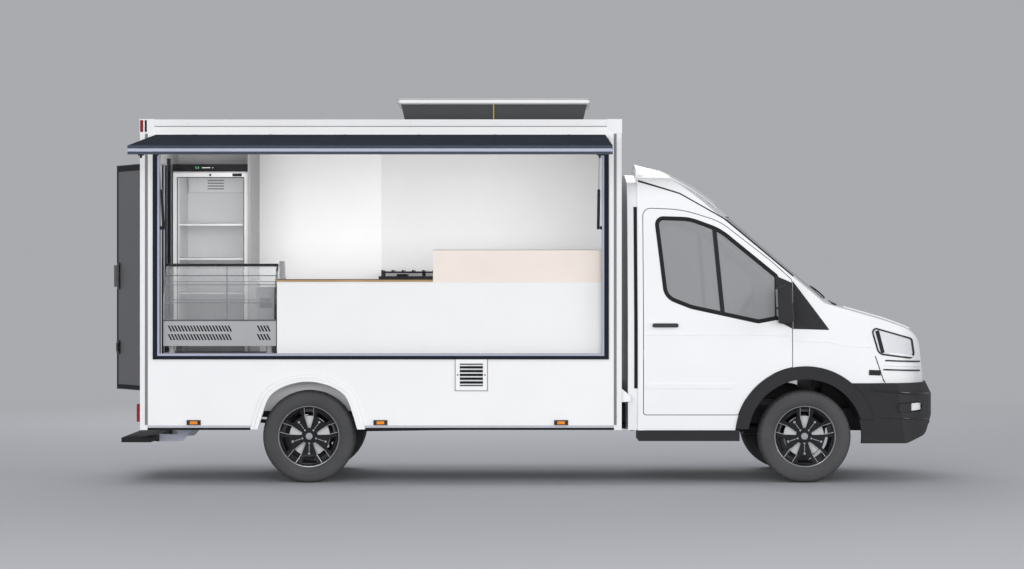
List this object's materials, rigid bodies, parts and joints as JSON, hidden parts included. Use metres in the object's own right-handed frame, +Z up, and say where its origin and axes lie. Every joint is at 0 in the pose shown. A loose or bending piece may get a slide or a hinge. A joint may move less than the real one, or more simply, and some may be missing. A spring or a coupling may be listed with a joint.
{
  "type": "food truck",
  "caption": "Chassis cab van with a white box kitchen body, a lift-up service hatch on gas struts, a rear door with a step, steered front wheels and a fitted kitchen",
  "frame": {"origin": "on the road, on the truck's centre plane, half way between the axles", "axes": "+X forward, +Y to the truck's left, +Z up"},
  "size_m": [6.7802, 3.9636, 3.096],
  "materials": {
    "cab_paint": "gloss",
    "panel_white": "satin",
    "rail_white": "satin",
    "skirt_rail": "satin",
    "black_plastic": "matte",
    "frame_black": "satin",
    "tyre": "matte",
    "alloy_black": "gloss",
    "glass": "gloss",
    "lamp_clear": "gloss",
    "lamp_red": "gloss",
    "opening_frame": "satin",
    "door_grey": "satin",
    "hatch_panel": "satin",
    "floor_grey": "matte",
    "steel": "satin",
    "counter_white": "satin",
    "lining_grey": "satin",
    "strut_black": "gloss",
    "strut_rod": "polished",
    "cooker_black": "satin",
    "appliance_grey": "satin"
  },
  "bodies": {
    "truck": {"frame_rails": "frame_black", "frame_members": "frame_black", "front_suspension": "frame_black", "rear_axle": "frame_black", "drive_line": "frame_black", "cab_body": "cab_paint", "front_wings": "cab_paint", "windscreen": "glass", "grille": "black_plastic", "head_lamps": "lamp_clear", "front_bumper": "black_plastic", "cab_cladding": "black_plastic", "cab_floor": "black_plastic", "dashboard": "black_plastic", "box_floor": "floor_grey", "box_wall_left": "panel_white", "box_wall_right": "panel_white", "box_wall_front": "panel_white", "box_wall_rear": "panel_white", "box_roof": "panel_white", "corner_posts": "rail_white", "roof_rails": "rail_white", "skirt_rails": "skirt_rail", "rear_arches": "panel_white", "hatch_frame": "opening_frame", "vent_grille": "rail_white", "roof_vent": "panel_white", "body_lamps": "lamp_red", "rear_step": "frame_black", "counter": "counter_white", "case_base": "steel", "case_glass": "glass", "fridge": "appliance_grey", "wall_linings": "lining_grey", "tap": "strut_rod", "cooking_range": "cooker_black"},
    "knuckle_left": {"knuckle_left": "frame_black"},
    "knuckle_right": {"knuckle_right": "frame_black"},
    "left_door": {"cab_door_left": "cab_paint", "door_glass_left": "glass", "mirror_left": "black_plastic"},
    "right_door": {"cab_door_right": "cab_paint", "door_glass_right": "glass", "mirror_right": "black_plastic"},
    "bonnet_lid": {"bonnet": "cab_paint"},
    "rear_door_leaf": {"rear_door": "door_grey"},
    "hatch_leaf": {"hatch": "hatch_panel"},
    "strut_tubes": {"strut_cylinders": "strut_black"},
    "strut_rods_pair": {"strut_rods": "strut_rod"},
    "fridge_door_leaf": {"fridge_door": "appliance_grey", "fridge_glass": "glass"},
    "wheel_front_left": {"rim_front_left": "alloy_black", "tyre_front_left": "tyre"},
    "wheel_front_right": {"rim_front_right": "alloy_black", "tyre_front_right": "tyre"},
    "wheel_rear_left": {"rim_rear_left": "alloy_black", "tyre_rear_left": "tyre"},
    "wheel_rear_right": {"rim_rear_right": "alloy_black", "tyre_rear_right": "tyre"}
  },
  "joints": [
    {"name": "steer_left", "type": "hinge", "parent": "truck", "child": "knuckle_left", "pos_m": [1.977, 0.795, 0.368], "axis": [0, 0, 1], "range_deg": [-33, 33]},
    {"name": "spin_front_left", "type": "hinge", "parent": "knuckle_left", "child": "wheel_front_left", "pos_m": [1.977, 0.865, 0.368], "axis": [0, 1, 0], "continuous": true},
    {"name": "spin_rear_left", "type": "hinge", "parent": "truck", "child": "wheel_rear_left", "pos_m": [-1.977, 0.865, 0.368], "axis": [0, 1, 0], "continuous": true},
    {"name": "cab_door_left_swing", "type": "hinge", "parent": "truck", "child": "left_door", "pos_m": [1.871, 1.029, 1], "axis": [0, 0, -1], "range_deg": [0, 68]},
    {"name": "steer_right", "type": "hinge", "parent": "truck", "child": "knuckle_right", "pos_m": [1.977, -0.795, 0.368], "axis": [0, 0, 1], "range_deg": [-33, 33]},
    {"name": "spin_front_right", "type": "hinge", "parent": "knuckle_right", "child": "wheel_front_right", "pos_m": [1.977, -0.865, 0.368], "axis": [0, 1, 0], "continuous": true},
    {"name": "spin_rear_right", "type": "hinge", "parent": "truck", "child": "wheel_rear_right", "pos_m": [-1.977, -0.865, 0.368], "axis": [0, 1, 0], "continuous": true},
    {"name": "cab_door_right_swing", "type": "hinge", "parent": "truck", "child": "right_door", "pos_m": [1.871, -1.029, 1], "axis": [0, 0, 1], "range_deg": [0, 68]},
    {"name": "bonnet_lift", "type": "hinge", "parent": "truck", "child": "bonnet_lid", "pos_m": [2.292, 0, 1.421], "axis": [0, -1, 0], "range_deg": [0, 60]},
    {"name": "rear_door_swing", "type": "hinge", "parent": "truck", "child": "rear_door_leaf", "pos_m": [-3.32, -0.42, 1.6], "axis": [0, 0, 1], "range_deg": [-32, 75]},
    {"name": "hatch_swing", "type": "hinge", "parent": "truck", "child": "hatch_leaf", "pos_m": [-1.397, -1.106, 2.702], "axis": [1, 0, 0], "range_deg": [0, 84]},
    {"name": "strut_tip", "type": "hinge", "parent": "truck", "child": "strut_tubes", "pos_m": [-1.397, -1.055, 2.028], "axis": [1, 0, 0], "range_deg": [-26, 1]},
    {"name": "strut_slide", "type": "slide", "parent": "strut_tubes", "child": "strut_rods_pair", "axis": [0, -0.4266, 0.9044], "range_m": [-0.245, 0.005]},
    {"name": "fridge_door_swing", "type": "hinge", "parent": "truck", "child": "fridge_door_leaf", "pos_m": [-3.189, 0.272, 1.65], "axis": [0, 0, -1], "range_deg": [0, 85]}
  ],
  "couplings": [
    {"joint": "steer_right", "follows": "steer_left", "ratio": 1},
    {"joint": "strut_tip", "follows": "hatch_swing", "ratio": -0.2912},
    {"joint": "strut_slide", "follows": "hatch_swing", "m_per_rad": -0.15958}
  ]
}
